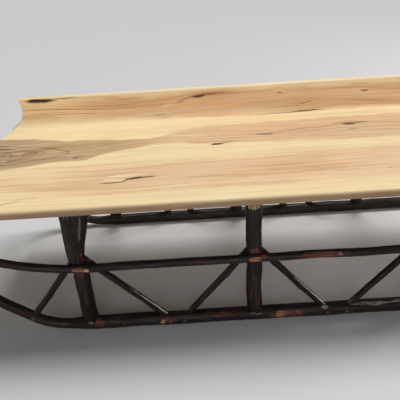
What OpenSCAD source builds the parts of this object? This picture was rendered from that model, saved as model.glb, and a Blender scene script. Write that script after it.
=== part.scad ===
// Rustic plank table on a sled-shaped pole base: two bark-covered runners with
// curled noses carry six legs, two side rails, ten braces and three bolsters,
// and a coved lip stands along the far edge of the top.
// Design axes: X runs from the nose (-X) to the tail, Y from the near runner to
// the far one, Z up from the floor. place() moves them to the row frame.

/* [Top] */
// Height of the seat surface above the floor
top_height = 457; // [400:1:560]
// Length of the top at its middle
top_length = 1676; // [1500:1:2020]
// Thickness of the boards
board_thick = 27; // [22:1:40]
// Depth of the bow cut across each end of the top
end_bow = 30; // [10:1:60]
// How far the nose end of the top reaches past the front legs
nose_overhang = 375; // [320:1:420]
// How far the top reaches past the runner centrelines on both long sides
side_overhang = 40; // [34:1:60]
// Width of the near board
near_board_w = 285; // [200:1:300]
// Width of the narrow far board
far_board_w = 65; // [50:1:120]
// Radius of the rounded near edge
edge_round = 8; // [4:1:10]

/* [Lip] */
// Height of the lip above the seat surface
lip_height = 115; // [90:1:150]
// Thickness of the lip above its cove
lip_thick = 30; // [24:1:40]
// Radius of the cove at the foot of the lip
cove_r = 40; // [25:1:55]
// Radius of the scoop cut in each end of the lip
scoop_r = 80; // [60:1:110]

/* [Base] */
// Distance between the two runner centrelines
track = 650; // [540:1:780]
// Spacing of the legs along each runner
leg_pitch = 520; // [440:1:560]
// Diameter of the legs
leg_d = 47; // [42:0.5:56.5]
// Diameter of the runners behind the front legs
runner_d = 43; // [38:0.5:52]
// Diameter of the runners in the nose
nose_d = 32; // [28:1:36]
// Diameter of the side rails
rail_d = 25; // [22:1:30]
// Height of the side rails at the legs
rail_z = 248; // [220:1:280]
// Diameter of the braces
brace_d = 20; // [16:1:23]
// Diameter of the bolsters under the top
bolster_d = 42; // [38:1:50]
// How far the runners reach past the rear legs
runner_tail = 215; // [160:1:250]
// How far the side rails reach past the rear legs
rail_tail = 185; // [130:1:220]

/* [Nose] */
// Radius of the first bend of the runner
bend_r = 230; // [200:1:260]
// Slope of the runner after its first bend, in degrees
bend_angle = 35; // [30:1:38]
// Straight length between the two bends
bend_gap = 65; // [40:1:90]
// Radius of the second bend
curl_r = 300; // [250:1:330]
// Slope of the runner at its tip, in degrees
curl_angle = 60; // [52:1:64]
// Radius of the rise of the side rail towards the nose
rail_bend_r = 700; // [660:1:800]
// Diameter of the cross bar between the two noses
nose_bar_d = 28; // [24:1:32]

/* [Joints] */
// Gap in every glued or scribed wood joint
fit_gap = 0.2; // [0.1:0.05:0.5]
// Gap between a side rail and the hollows that hold it in the legs
housing_gap = 0.5; // [0.45:0.05:1]
// Diameter of the leg tenons in the runners
leg_tenon_d = 24; // [20:1:26]
// Diameter of the bolster tenons in the legs
bolster_tenon_d = 24; // [20:1:26]
// Diameter of the tenons at the feet of the braces
brace_tenon_d = 12; // [10:1:14]
// Diameter of the pegs through the brace tenons
peg_d = 8; // [6:1:9]
// Diameter of the dowels between the boards
dowel_d = 10; // [8:1:12]
// Length of the dowels between the boards
dowel_l = 50; // [40:1:56]
// Shank diameter of the wood screws
screw_d = 5; // [4:0.5:6]
// Shank diameter of the brace nails
nail_d = 3; // [2.5:0.5:4]

/* [Hidden] */
$fn = 64;
bow_sides = 720;
big = 400;
hole_over = 1;

sapwood = [0.90, 0.82, 0.64];
heartwood = [0.80, 0.66, 0.50];
bark = [0.16, 0.13, 0.11];
dowel_wood = [0.86, 0.74, 0.54];
steel = [0.60, 0.60, 0.58];

// Top: levels and edges
top_under = top_height - board_thick;
top_near = -side_overhang;
top_far = track + side_overhang;
top_w = top_far - top_near;
top_nose = -nose_overhang;
top_tail = top_length - nose_overhang;
bow_r = (pow(top_w / 2, 2) + pow(end_bow, 2)) / (2 * end_bow);
lip_front = top_far - lip_thick;
lip_foot = lip_front - cove_r;
seam_near = top_near + near_board_w;
seam_far = lip_foot - far_board_w;
lip_top = top_height + lip_height;
lip_round = 8;
arc_steps = 8;

// The scoop's axis stands so that it meets the seat at the bow's corner
scoop_rise = 75;
scoop_z = top_height + scoop_rise;
scoop_in = sqrt(pow(scoop_r, 2) - pow(scoop_z - top_height, 2));
corner_in = bow_r - sqrt(pow(bow_r, 2) - pow(lip_foot - (top_near + top_far) / 2, 2));

// Dowels between the boards
dowel_count = 6;
dowel_margin = 150;
dowel_pitch = (top_length - 2 * dowel_margin) / (dowel_count - 1);
dowel_z = top_height - board_thick / 2;

// Base: radii, levels and places
leg_r = leg_d / 2;
runner_r = runner_d / 2;
nose_r = nose_d / 2;
rail_r = rail_d / 2;
brace_r = brace_d / 2;
bolster_r = bolster_d / 2;
sole_flat = 1.5;
runner_z = runner_r - sole_flat;
runner_end = 2 * leg_pitch + runner_tail;
rail_end = 2 * leg_pitch + rail_tail;
bend_x = -50;
taper_l = 20;
nose_step = 0.3;
lead_in = 15;
sweep_sides = 24;
sweep_steps = 8;
flat_depth = 1.5;
rail_y = -(nose_r + rail_r - 2 * flat_depth);
rail_bend_x = 0;
tenon_stop = 9;
leg_xs = [0, leg_pitch, 2 * leg_pitch];

// Nose: ends of the first bend, of the straight and of the curl
p1 = [bend_x - bend_r * sin(bend_angle), runner_z + bend_r * (1 - cos(bend_angle))];
p2 = p1 + bend_gap * [-cos(bend_angle), sin(bend_angle)];
curl_c = p2 + curl_r * [sin(bend_angle), cos(bend_angle)];
p3 = curl_c - curl_r * [sin(curl_angle), cos(curl_angle)];
curl_dir = [-cos(curl_angle), sin(curl_angle)];

// Where the runner's last straight crosses the rail's rise
rail_c = [rail_bend_x, rail_z + rail_bend_r];
cross_b = curl_dir * (p3 - rail_c);
cross_c = (p3 - rail_c) * (p3 - rail_c) - pow(rail_bend_r, 2);
cross_t = -cross_b - sqrt(pow(cross_b, 2) - cross_c);
tip = p3 + cross_t * curl_dir;
rail_angle = asin((rail_bend_x - tip[0]) / rail_bend_r);
tip_past = 20;
tip_block = 100;
tip_plane = -(nose_r - flat_depth);

// Nose bar, set back from the tip along the runner
bar_back = 55;
bar_at = tip - bar_back * curl_dir;
bar_tenon_d = nose_bar_d / 2;

// Braces: foot on the runner, and the leg that each one props
brace_feet = [-178, 254, leg_pitch - 222, leg_pitch + 230, 2 * leg_pitch - 230];
brace_legs = [0, 0, leg_pitch, leg_pitch, 2 * leg_pitch];
brace_over_rail = 12;
brace_top_z = rail_z + brace_over_rail;
brace_tenon_past = 6;
nail_into_leg = 20;
nail_in_brace = 10;
nail_head_r = nail_d;
nail_head_l = 1.5;
peg_proud = 1;
peg_blind = 4;

// Crook: the natural swell of the near front leg towards the tail
crook_low = [5, rail_z - 20];
crook_high = [29, top_under];
crook_low_r = 21;
crook_high_r = 29;
crook_past = 1.2;
crook_brace = 1;
leg_stock_rise = 8;
leg_low = runner_z + leg_stock_rise;
leg_tenon_root = 12;

// Bolsters and screws
bolster_flat = 2;
bolster_z = top_under - bolster_r + bolster_flat;
bolster_tenon_short = 6;
bolster_tenon_l = leg_r - bolster_tenon_short;
screw_r = screw_d / 2;
screw_head_share = 0.95;
screw_head_r = screw_d * screw_head_share;
screw_head_l = 3.5;
screw_cover = 10;
bolster_screw_l = bolster_d - bolster_flat + board_thick - screw_cover;
bolster_screw_sink = 6;
bolster_tenon_root = 12;
screw_by_leg = 36.5;
screw_by_seam = 45;
screw_in_middle = 60;
screw_in_far = 30;
bolster_screw_ys = [leg_r + screw_by_leg, seam_near - screw_by_seam,
    seam_near + screw_in_middle, seam_far - screw_in_middle, seam_far + screw_in_far];
rail_screw_l = 44;
tip_screw_short = 4;
plug_l = 6;
plug_over_head = 0.5;
plug_proud = 0.5;
plug_hole_past = 5;
plug_r = screw_head_r + plug_over_head;
rail_screw_xs = concat(leg_xs, [tip[0]]);
rail_screw_zs = [rail_z, rail_z, rail_z, tip[1]];

// Middle of the whole object, which becomes the origin
runner_tip_x = tip[0] - tip_past * cos(curl_angle) - nose_r * sin(curl_angle);
rail_tip_x = tip[0] - tip_past * cos(rail_angle) - rail_r * sin(rail_angle);
low_x = min(runner_tip_x, rail_tip_x, top_nose);
high_x = max(top_tail, runner_end);
mid_x = (low_x + high_x) / 2;
mid_y = track / 2;

// Height of the runner's axis at a place x on its first bend or behind it
function runner_axis_z(x) =
    x > bend_x ? runner_z : runner_z + bend_r - sqrt(pow(bend_r, 2) - pow(x - bend_x, 2));

module place() {
    translate([-mid_x, -mid_y, 0])
        children();
}

// Puts a piece of the near side frame on the near or the far side
module side(far) {
    if (far)
        translate([0, track, 0])
            mirror([0, 1, 0])
                children();
    else
        children();
}

// Round stock between two points of the XZ plane at y = 0
module pole(a, b, r1, r2) {
    translate([a[0], 0, a[1]])
        rotate([0, atan2(b[0] - a[0], b[1] - a[1]), 0])
            cylinder(h = norm(b - a), r1 = r1, r2 = r2);
}

// Round stock along Y from y1 to y2 at a point of the XZ plane
module cross_pole(at, y1, y2, r) {
    translate([at[0], y1, at[1]])
        rotate([-90, 0, 0])
            cylinder(h = y2 - y1, r = r);
}

// Stations [x, z, slope] along an arc about c, between two slopes
function arc_path(c, bend, a1, a2) =
    [for (i = [0 : sweep_steps])
        let (a = a1 + (a2 - a1) * i / sweep_steps)
            [c[0] - bend * sin(a), c[1] - bend * cos(a), a]];

// Round stock along a list of stations [x, z, slope]
module swept_pole(path, r) {
    last = len(path) - 1;
    points = [for (p = path, k = [0 : sweep_sides - 1])
        let (turn = k * 360 / sweep_sides)
            [p[0] + r * cos(turn) * sin(p[2]), r * sin(turn), p[1] + r * cos(turn) * cos(p[2])]];
    walls = [for (i = [0 : last - 1], k = [0 : sweep_sides - 1])
        let (next = (k + 1) % sweep_sides, row = i * sweep_sides)
            [row + k, row + sweep_sides + k, row + sweep_sides + next, row + next]];
    ends = [[for (k = [0 : sweep_sides - 1]) k],
        [for (k = [sweep_sides - 1 : -1 : 0]) last * sweep_sides + k]];
    polyhedron(points = points, faces = concat(walls, ends), convexity = 4);
}

// Outline of both ends of the top: two arcs across the whole width
module bowed_plan(height) {
    intersection() {
        translate([top_nose + bow_r, (top_near + top_far) / 2, 0])
            cylinder(h = height, r = bow_r, $fn = bow_sides);
        translate([top_tail - bow_r, (top_near + top_far) / 2, 0])
            cylinder(h = height, r = bow_r, $fn = bow_sides);
    }
}

// A profile in Y and Z, run along the whole length of the top
module along_top(points) {
    translate([top_nose - hole_over, 0, 0])
        rotate([90, 0, 90])
            linear_extrude(height = top_length + 2 * hole_over)
                polygon(points);
}

module dowels(seam, r, half) {
    for (i = [0 : dowel_count - 1])
        cross_pole([top_nose + dowel_margin + i * dowel_pitch, dowel_z], seam - half, seam + half, r);
}

module dowel_holes(seam) {
    dowels(seam, dowel_d / 2 + fit_gap / 2, dowel_l / 2 + hole_over);
}

module seam_dowels(seam) {
    color(dowel_wood)
        place()
            dowels(seam, dowel_d / 2, dowel_l / 2);
}

// Pilot holes for the bolster screws, up into the boards
module board_pilots() {
    for (x = leg_xs, y = bolster_screw_ys)
        translate([x, y, top_under - hole_over])
            cylinder(h = board_thick - screw_cover + 2 * hole_over, r = screw_r);
}

function box_profile(y1, y2) =
    [[y1, top_under], [y2, top_under], [y2, top_height], [y1, top_height]];

function rounded_edge_profile(y1, y2) = concat(
    [[y2, top_under], [y2, top_height]],
    [for (i = [0 : arc_steps])
        [y1 + edge_round * (1 - sin(i * 90 / arc_steps)),
         top_height - edge_round * (1 - cos(i * 90 / arc_steps))]],
    [[y1, top_under + edge_round / 2], [y1 + edge_round / 2, top_under]]);

function lip_profile() = concat(
    [[lip_foot, top_under], [top_far, top_under], [top_far, lip_top - lip_round]],
    [for (i = [1 : arc_steps])
        [top_far - lip_round * (1 - cos(i * 90 / arc_steps)),
         lip_top - lip_round * (1 - sin(i * 90 / arc_steps))]],
    [for (i = [0 : arc_steps])
        [lip_front + lip_round * (1 - sin(i * 90 / arc_steps)),
         lip_top - lip_round * (1 - cos(i * 90 / arc_steps))]],
    [for (i = [0 : arc_steps * 2])
        [lip_front - cove_r * (1 - cos(i * 45 / arc_steps)),
         top_height + cove_r * (1 - sin(i * 45 / arc_steps))]]);

// A board of the top between two seams, doweled where it meets a neighbour
module board(points, seams) {
    place()
        difference() {
            intersection() {
                along_top(points);
                bowed_plan(lip_top + hole_over);
            }
            for (seam = seams)
                dowel_holes(seam);
            board_pilots();
        }
}

module near_board() {
    color(heartwood)
        board(rounded_edge_profile(top_near, seam_near), [seam_near]);
}

module middle_board() {
    color(sapwood)
        board(box_profile(seam_near, seam_far), [seam_near, seam_far]);
}

module far_board() {
    color(sapwood)
        board(box_profile(seam_far, lip_foot), [seam_far, lip_foot]);
}

module lip_scoop(x) {
    cross_pole([x, scoop_z], lip_foot - hole_over, top_far + hole_over, scoop_r);
}

module back_lip() {
    color(heartwood)
        place()
            difference() {
                intersection() {
                    along_top(lip_profile());
                    bowed_plan(lip_top + hole_over);
                }
                dowel_holes(lip_foot);
                lip_scoop(top_nose + corner_in - scoop_in);
                lip_scoop(top_tail - corner_in + scoop_in);
            }
}

// The straight of a runner, tapered at its front end to the nose's size
module runner_straight(grow) {
    translate([runner_end, 0, runner_z])
        rotate([0, -90, 0])
            rotate_extrude()
                polygon([[0, 0], [runner_r + grow, 0],
                    [runner_r + grow, runner_end - bend_x - taper_l],
                    [nose_r + nose_step + grow, runner_end - bend_x], [0, runner_end - bend_x]]);
}

// The curled nose of a runner, from inside its straight to the tip
module runner_nose(grow) {
    swept_pole(concat([[bend_x + lead_in, runner_z, 0]],
        arc_path([bend_x, runner_z + bend_r], bend_r, 0, bend_angle),
        arc_path(curl_c, curl_r, bend_angle, curl_angle),
        [[tip[0] + tip_past * curl_dir[0], tip[1] + tip_past * curl_dir[1], curl_angle]]),
        nose_r + grow);
}

// The straight of a side rail; as a cutter it is grown and starts further ahead
module rail_straight(grow, ahead) {
    translate([rail_bend_x - ahead, rail_y, rail_z])
        rotate([0, 90, 0])
            cylinder(h = rail_end - rail_bend_x + ahead, r = rail_r + grow);
}

// The rise of a side rail, from inside its straight to the tip
module rail_nose() {
    translate([0, rail_y, 0])
        swept_pole(concat([[rail_bend_x + lead_in, rail_z, 0]],
            arc_path(rail_c, rail_bend_r, 0, rail_angle),
            [[tip[0] - tip_past * cos(rail_angle), tip[1] + tip_past * sin(rail_angle), rail_angle]]),
            rail_r - nose_step / 2);
}

function brace_foot(i) = [brace_feet[i], runner_axis_z(brace_feet[i])];
function brace_side(i) = brace_feet[i] < brace_legs[i] ? -1 : 1;
function brace_head(i) = [brace_legs[i] + brace_side(i) * leg_r, brace_top_z];
function brace_dir(i) =
    let (d = brace_foot(i) - brace_head(i)) d / norm(d);

// Stock of one brace, from inside its leg to the runner's axis
module brace_stock(i, r) {
    pole(brace_head(i) - leg_r * brace_dir(i), brace_foot(i), r, r);
}

// The part of the runner that a brace stands on, as straight stock
module brace_seat(i) {
    slope = brace_feet[i] < bend_x ? asin((bend_x - brace_feet[i]) / bend_r) : 0;
    along = 2 * runner_d * [cos(slope), -sin(slope)];
    r = foot_r(i) + (slope > 0 ? housing_gap : fit_gap);
    pole(brace_foot(i) - along, brace_foot(i) + along, r, r);
}

// The round tenon at a brace's foot; past is how far it runs beyond the runner's axis
module brace_tenon(i, past, r) {
    pole(brace_foot(i) - (runner_r + brace_d) * brace_dir(i), brace_foot(i) + past * brace_dir(i), r, r);
}

module runner_peg(i, r, out) {
    cross_pole(brace_foot(i), -(foot_r(i) + out), foot_r(i) - peg_blind, r);
}

function foot_r(i) = brace_feet[i] < bend_x ? nose_r : runner_r;

module leg_tenon(x, low, r) {
    translate([x, 0, low])
        cylinder(h = runner_z + runner_r + leg_tenon_root - low, r = r);
}

// Where the noses of rail and runner are planed flat to lie on each other
module tip_flat(y1, y2) {
    translate([tip[0] - tip_block, y1, tip[1] - tip_block / 2])
        cube([tip_block * 3 / 2, y2 - y1, tip_block * 2]);
}

module runner(far) {
    color(bark)
        place()
            side(far)
                difference() {
                    union() {
                        runner_straight(0);
                        runner_nose(0);
                    }
                    translate([-big, -big / 2, -big])
                        cube([big + runner_end + hole_over, big, big]);
                    tip_flat(-tip_block, tip_plane);
                    for (x = leg_xs)
                        leg_tenon(x, tenon_stop - hole_over, leg_tenon_d / 2 + fit_gap / 2);
                    for (i = [0 : 4]) {
                        brace_tenon(i, brace_tenon_past + hole_over, brace_tenon_d / 2 + fit_gap / 2);
                        runner_peg(i, peg_d / 2, peg_proud);
                    }
                    cross_pole(bar_at, -nose_r / 2 - hole_over, nose_r + hole_over,
                        bar_tenon_d / 2 + fit_gap / 2);
                    rail_screw(3);
                }
}

// A rail screw points from the rail's outer face towards the leg
module rail_screw(i) {
    at = [rail_screw_xs[i], rail_screw_zs[i]];
    head_y = rail_y - rail_r + plug_l;
    cross_pole(at, head_y, head_y + screw_head_l, screw_head_r);
    cross_pole(at, head_y, head_y + rail_screw_length(i), screw_r);
}

function rail_screw_length(i) = i < 3 ? rail_screw_l : rail_r * 2 + nose_r - tip_screw_short;

module rail_plug(i, out) {
    at = [rail_screw_xs[i], rail_screw_zs[i]];
    cross_pole(at, rail_y - rail_r - out, rail_y - rail_r + plug_l, plug_r);
}

module rail(far) {
    color(bark)
        place()
            side(far)
                difference() {
                    union() {
                        rail_straight(0, 0);
                        rail_nose();
                    }
                    tip_flat(tip_plane, tip_block);
                    for (i = [0 : 3]) {
                        rail_screw(i);
                        rail_plug(i, plug_hole_past);
                    }
                }
}

module rail_screws(far) {
    color(steel)
        place()
            side(far)
                for (i = [0 : 3])
                    rail_screw(i);
}

module rail_plugs(far) {
    color(dowel_wood)
        place()
            side(far)
                for (i = [0 : 3])
                    rail_plug(i, plug_proud);
}

module nail(i) {
    head = brace_head(i) + [brace_side(i) * nail_in_brace, 0];
    point = brace_head(i) - [brace_side(i) * nail_into_leg, 0];
    pole(head, point, nail_d / 2, nail_d / 2);
    pole(head, head - [brace_side(i) * nail_head_l, 0], nail_head_r, nail_head_r);
}

module brace_nails(far) {
    color(steel)
        place()
            side(far)
                for (i = [0 : 4])
                    nail(i);
}

// Stock of one leg, with the crook where it has one
module leg_stock(x, crooked, grow) {
    translate([x, 0, leg_low])
        cylinder(h = top_under - leg_low, r = leg_r + grow);
    if (crooked)
        intersection() {
            pole(crook_low, crook_low + crook_past * (crook_high - crook_low),
                crook_low_r + grow, crook_high_r + grow);
            translate([-big / 2, -big / 2, 0])
                cube([big, big, top_under]);
        }
}

// A leg with its coped foot and tenon, housed rail and bolster mortise
module leg(x, far, crooked) {
    color(bark)
        place()
            side(far) {
                difference() {
                    leg_stock(x, crooked, 0);
                    runner_straight(fit_gap);
                    rail_straight(housing_gap, big);
                    cross_pole([x, bolster_z], leg_r - bolster_tenon_l - hole_over, leg_d,
                        bolster_tenon_d / 2 + fit_gap / 2);
                    for (i = [0 : 2])
                        if (leg_xs[i] == x)
                            rail_screw(i);
                    for (i = [0 : 4])
                        if (brace_legs[i] == x)
                            nail(i);
                }
                leg_tenon(x, tenon_stop, leg_tenon_d / 2);
            }
}

module brace(i, far) {
    color(bark)
        place()
            side(far)
                difference() {
                    union() {
                        difference() {
                            brace_stock(i, brace_r);
                            leg_stock(brace_legs[i], i == crook_brace && !far, fit_gap);
                            brace_seat(i);
                        }
                        brace_tenon(i, brace_tenon_past, brace_tenon_d / 2);
                    }
                    runner_peg(i, peg_d / 2, peg_proud);
                    nail(i);
                    nail_mouth(i);
                }
}

// The nail's way in from the outside of the brace, as wide as its head
module nail_mouth(i) {
    head = brace_head(i) + [brace_side(i) * nail_in_brace, 0];
    pole(head, head + [brace_side(i) * brace_d * 2, 0], nail_head_r, nail_head_r);
}

module runner_pegs(far) {
    color(dowel_wood)
        place()
            side(far)
                for (i = [0 : 4])
                    runner_peg(i, peg_d / 2, peg_proud);
}

// A bolster screw points up through the bolster into a board
module bolster_screw(x, y) {
    z = bolster_z - bolster_r + bolster_screw_sink;
    translate([x, y, z])
        cylinder(h = bolster_screw_l - bolster_screw_sink, r = screw_r);
    translate([x, y, z])
        cylinder(h = screw_head_l, r = screw_head_r);
}

module bolster_screws(x) {
    color(steel)
        place()
            for (y = bolster_screw_ys)
                bolster_screw(x, y);
}

module bolster(x) {
    color(bark)
        place() {
            difference() {
                cross_pole([x, bolster_z], 0, track, bolster_r);
                translate([x - big / 2, -hole_over, top_under])
                    cube([big, track + 2 * hole_over, big]);
                for (far = [false, true])
                    side(far)
                        leg_stock(x, x == leg_xs[0] && !far, fit_gap);
                for (y = bolster_screw_ys) {
                    bolster_screw(x, y);
                    translate([x, y, 0])
                        cylinder(h = bolster_z - bolster_r + bolster_screw_sink, r = screw_head_r);
                }
            }
            for (far = [false, true])
                side(far)
                    cross_pole([x, bolster_z], leg_r - bolster_tenon_l, leg_r + bolster_tenon_root,
                        bolster_tenon_d / 2);
        }
}

module nose_bar() {
    color(bark)
        place() {
            difference() {
                cross_pole(bar_at, 0, track, nose_bar_d / 2);
                for (y = [0, track])
                    translate([0, y, 0])
                        pole(tip, p3, nose_r + fit_gap, nose_r + fit_gap);
            }
            for (far = [false, true])
                side(far)
                    cross_pole(bar_at, -nose_r / 2, nose_d, bar_tenon_d / 2);
        }
}

near_board();
middle_board();
far_board();
back_lip();
seam_dowels(seam_near);  // near_seam_dowels
seam_dowels(seam_far);  // far_seam_dowels
seam_dowels(lip_foot);  // lip_seam_dowels
bolster(leg_xs[0]);  // front_bolster
bolster(leg_xs[1]);  // middle_bolster
bolster(leg_xs[2]);  // rear_bolster
bolster_screws(leg_xs[0]);  // front_bolster_screws
bolster_screws(leg_xs[1]);  // middle_bolster_screws
bolster_screws(leg_xs[2]);  // rear_bolster_screws
runner(false);  // near_runner
runner(true);  // far_runner
rail(false);  // near_rail
rail(true);  // far_rail
leg(leg_xs[0], false, true);  // near_front_leg
leg(leg_xs[1], false, false);  // near_middle_leg
leg(leg_xs[2], false, false);  // near_rear_leg
leg(leg_xs[0], true, false);  // far_front_leg
leg(leg_xs[1], true, false);  // far_middle_leg
leg(leg_xs[2], true, false);  // far_rear_leg
brace(0, false);  // near_brace_1
brace(1, false);  // near_brace_2
brace(2, false);  // near_brace_3
brace(3, false);  // near_brace_4
brace(4, false);  // near_brace_5
brace(0, true);  // far_brace_1
brace(1, true);  // far_brace_2
brace(2, true);  // far_brace_3
brace(3, true);  // far_brace_4
brace(4, true);  // far_brace_5
brace_nails(false);  // near_brace_nails
brace_nails(true);  // far_brace_nails
runner_pegs(false);  // near_runner_pegs
runner_pegs(true);  // far_runner_pegs
rail_screws(false);  // near_rail_screws
rail_screws(true);  // far_rail_screws
rail_plugs(false);  // near_rail_plugs
rail_plugs(true);  // far_rail_plugs
nose_bar();
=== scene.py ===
import math
import bpy
import numpy as np
from mathutils import Matrix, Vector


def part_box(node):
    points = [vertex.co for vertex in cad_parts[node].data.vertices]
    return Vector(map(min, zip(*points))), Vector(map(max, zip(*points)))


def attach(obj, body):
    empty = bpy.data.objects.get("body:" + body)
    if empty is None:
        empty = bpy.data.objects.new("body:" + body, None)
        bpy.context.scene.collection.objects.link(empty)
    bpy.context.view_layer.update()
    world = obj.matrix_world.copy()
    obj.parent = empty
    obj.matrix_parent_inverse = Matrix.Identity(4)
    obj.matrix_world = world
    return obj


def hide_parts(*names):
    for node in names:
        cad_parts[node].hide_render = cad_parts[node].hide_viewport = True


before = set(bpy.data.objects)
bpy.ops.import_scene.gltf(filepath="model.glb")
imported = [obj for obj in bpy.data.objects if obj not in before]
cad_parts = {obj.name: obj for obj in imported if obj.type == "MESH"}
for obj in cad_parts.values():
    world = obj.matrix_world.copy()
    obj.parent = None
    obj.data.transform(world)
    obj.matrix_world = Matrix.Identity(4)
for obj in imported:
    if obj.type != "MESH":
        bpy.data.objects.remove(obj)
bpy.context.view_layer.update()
print("frame loaded")


# Everything below is worked out in millimetres from the front legs' axis, the
# near runner's centreline and the floor, and moved to the row frame at the end.
def middle(node):
    low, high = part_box(node)
    return (low.x + high.x) / 2, (low.y + high.y) / 2


frontX, farY = middle("far_front_leg")
middleX, nearY = middle("near_middle_leg")
pitch = (middleX - frontX) * 1000
track = (farY - nearY) * 1000


def toFrame(points):
    return np.asarray(points, float) / 1000 + np.array([frontX, nearY, 0])


def lowHigh(node):
    low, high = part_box(node)
    shift = np.array([frontX, nearY, 0])
    return (np.array(low) - shift) * 1000, (np.array(high) - shift) * 1000


def addObject(name, data):
    item = bpy.data.objects.new(name, data)
    bpy.context.scene.collection.objects.link(item)
    return item


view = {
    "place": (373.8, -1221.4, 1086.6),  # mm
    "pitchDown": 28.0,  # degrees
    "turn": 0.21,
    "roll": -3.59,
    "lens": 44.49,  # mm
    "sensorWidth": 36,  # mm
    "clipEnd": 200,  # metres
}


def makeCamera(look):
    data = bpy.data.cameras.new("camera")
    data.lens = look["lens"]
    data.sensor_width = look["sensorWidth"]
    data.clip_end = look["clipEnd"]
    camera = addObject("camera", data)
    turn = Matrix.Rotation(math.radians(look["turn"]), 4, "Z")
    tilt = Matrix.Rotation(math.radians(90 - look["pitchDown"]), 4, "X")
    roll = Matrix.Rotation(math.radians(look["roll"]), 4, "Z")
    camera.matrix_world = Matrix.Translation(toFrame(look["place"])) @ turn @ tilt @ roll
    bpy.context.scene.camera = camera


makeCamera(view)
print("camera set")


def newMaterial(name):
    material = bpy.data.materials.new(name)
    material.use_nodes = True
    tree = material.node_tree
    return material, tree, tree.nodes["Principled BSDF"]


def feed(socket, value):
    if isinstance(value, bpy.types.NodeSocket):
        socket.id_data.links.new(value, socket)
    elif isinstance(value, (tuple, list)) and len(value) == 3 and socket.type == "RGBA":
        socket.default_value = (*value, 1)
    else:
        socket.default_value = value


# A node that something feeds is made in the same tree as what feeds it
def addNode(kind, inputs, tree=None, **settings):
    if tree is None:
        tree = next(value.id_data for value in inputs.values() if isinstance(value, bpy.types.NodeSocket))
    made = tree.nodes.new("ShaderNode" + kind)
    for key, value in settings.items():
        setattr(made, key, value)
    for key, value in inputs.items():
        feed(made.inputs[key], value)
    return made


def attribute(tree, name, output):
    return addNode("Attribute", {}, tree, attribute_name=name).outputs[output]


def stretched(place, scale):
    return addNode("Mapping", {"Vector": place, "Scale": scale}).outputs[0]


def noise(place, scale, detail=4, roughness=0.55, distortion=0):
    inputs = {"Vector": place, "Scale": scale, "Detail": detail, "Roughness": roughness}
    inputs["Distortion"] = distortion
    return addNode("TexNoise", inputs).outputs["Fac"]


def spread(value, low, high, toLow=0, toHigh=1, smooth=True):
    inputs = {"Value": value, "From Min": low, "From Max": high, "To Min": toLow, "To Max": toHigh}
    kind = "SMOOTHSTEP" if smooth else "LINEAR"
    return addNode("MapRange", inputs, interpolation_type=kind).outputs[0]


def maths(operation, first, second=0.0):
    return addNode("Math", {0: first, 1: second}, operation=operation).outputs[0]


def times(first, second):
    return maths("MULTIPLY", first, second)


def plus(first, second):
    return maths("ADD", first, second)


def vectorMaths(operation, first, second):
    return addNode("VectorMath", {0: first, 1: second}, operation=operation).outputs[0]


def distanceOut(place):
    return addNode("VectorMath", {0: place}, operation="LENGTH").outputs["Value"]


def blendColour(factor, under, over, way="MIX"):
    inputs = {0: factor, 6: under, 7: over}  # 6 and 7 are its colour sockets
    return addNode("Mix", inputs, data_type="RGBA", blend_type=way).outputs[2]


# The colour multiplied by a tint, as far as the factor says
def tinted(factor, colour, tint):
    return blendColour(factor, colour, blendColour(1.0, colour, tint, "MULTIPLY"))


def bump(height, strength, distance, under=None):
    inputs = {"Height": height, "Strength": strength, "Distance": distance}
    if under is not None:
        inputs["Normal"] = under
    return addNode("Bump", inputs).outputs[0]


def finishSurface(shader, colour, roughness, normal=None, **plain):
    feed(shader.inputs["Base Color"], colour)
    feed(shader.inputs["Roughness"], roughness)
    if normal is not None:
        feed(shader.inputs["Normal"], normal)
    names = {"coat": "Coat Weight", "coatRoughness": "Coat Roughness", "shine": "Specular IOR Level",
             "metal": "Metallic"}
    for key, value in plain.items():
        shader.inputs[names[key]].default_value = value


def makePiece(name, points, faces, attributes, material, slotName, *nodes):
    mesh = bpy.data.meshes.new(name)
    mesh.from_pydata(toFrame(points).tolist(), [], faces)
    kinds = {"FLOAT": "value", "FLOAT_VECTOR": "vector", "FLOAT_COLOR": "color"}
    for label, (kind, values) in attributes.items():
        made = mesh.attributes.new(label, kind, "POINT")
        made.data.foreach_set(kinds[kind], np.ascontiguousarray(values, np.float32).ravel())
    mesh.polygons.foreach_set("use_smooth", [True] * len(mesh.polygons))
    mesh.materials.append(material)
    mesh.update()
    piece = addObject(name, mesh)
    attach(piece, "root")
    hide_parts(*nodes)
    return piece


def smoothStep(value, low, high):
    share = np.clip((value - low) / (high - low), 0, 1)
    return share * share * (3 - 2 * share)


# A smooth wandering value along and around a pole, the same every run
def ripples(along, angle, seed, count, waves, turns):
    rng = np.random.default_rng(seed)
    total = np.zeros(np.broadcast(along, angle).shape)
    for _ in range(count):
        wave = rng.uniform(*waves)
        turn = rng.integers(turns[0], turns[1] + 1) * rng.choice((-1, 1))
        phase = rng.uniform(0, 2 * math.pi)
        total += np.cos(2 * math.pi * along / wave + turn * angle + phase)
    return total / math.sqrt(count)


barkLook = {
    "valley": (0.0016, 0.0014, 0.0012),
    "bark": (0.0085, 0.0058, 0.0038),
    "ridge": (0.048, 0.032, 0.02),
    "russet": (0.038, 0.013, 0.008),
    "silver": (0.13, 0.115, 0.1),
    "wornAndGlintDark": (0.3, 0.26, 0.25),  # a worn spot's own colour is multiplied by these
    "wornAndGlintLight": (1.25, 1.2, 1.15),
    "sawn": (0.26, 0.16, 0.09),
    "sawnRing": (0.14, 0.075, 0.04),
    "smooth": 0.3,
    "rough": 0.85,
    "shine": 0.2,
    "lacquer": 0.08,
    "lacquerRoughness": 0.25,
    "ridgeDepth": 0.0034,  # metres
    "scaleDepth": 0.0012,
}


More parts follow.
